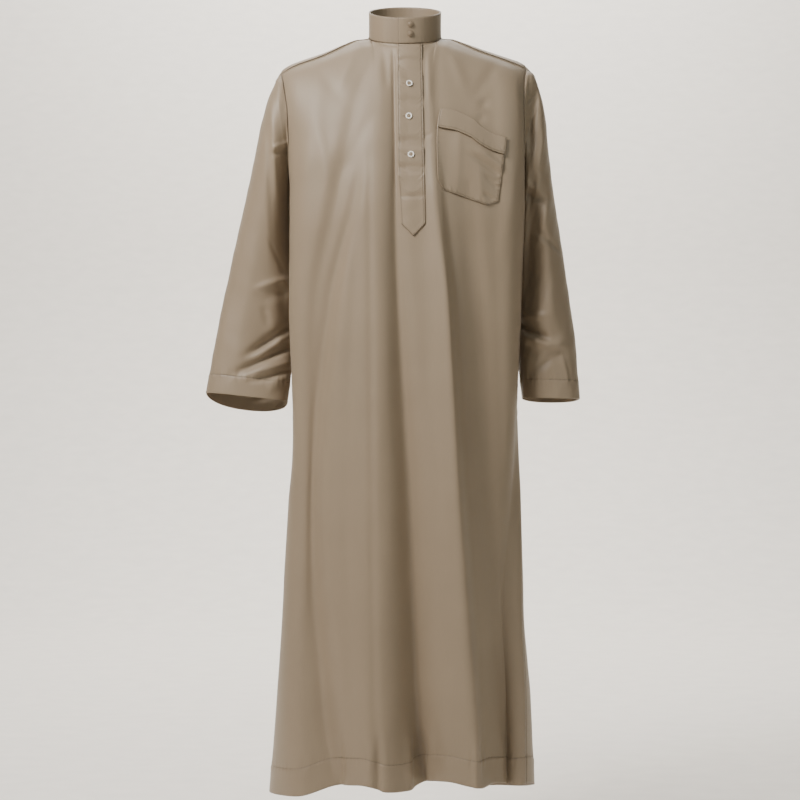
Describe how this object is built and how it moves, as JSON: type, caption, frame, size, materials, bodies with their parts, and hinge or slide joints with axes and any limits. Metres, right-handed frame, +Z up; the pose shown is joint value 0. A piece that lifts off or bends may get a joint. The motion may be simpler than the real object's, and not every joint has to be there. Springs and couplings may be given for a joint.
{
  "type": "kurta",
  "caption": "Ankle-length straight kurta of the thobe cut with band collar, half placket, set-in sleeves and a tilted chest pocket, hollow as worn",
  "frame": {"origin": "midway between the two shoulder-neck points, where the wearer's neck and shoulders carry the garment", "axes": "+Z up, the front faces -Y, +X is the wearer's left"},
  "size_m": [0.6741, 0.3344, 1.4417],
  "materials": {
    "cloth": "taupe polyester cloth with a satin sheen and a fine warp-faced weave",
    "button": "pale pearl-look plastic with a raised rim",
    "stud": "tone-on-tone domed plastic, smooth"
  },
  "bodies": {
    "root": {"front_chest": "cloth", "front_skirt": "cloth", "back_chest": "cloth", "back_skirt": "cloth", "sleeve_right": "cloth", "sleeve_left": "cloth", "collar": "cloth", "placket": "cloth", "under_placket": "cloth", "chest_pocket": "cloth", "pocket_band": "cloth", "button_1": "button", "button_2": "button", "button_3": "button", "collar_stud_1": "stud", "collar_stud_2": "stud"}
  },
  "joints": []
}
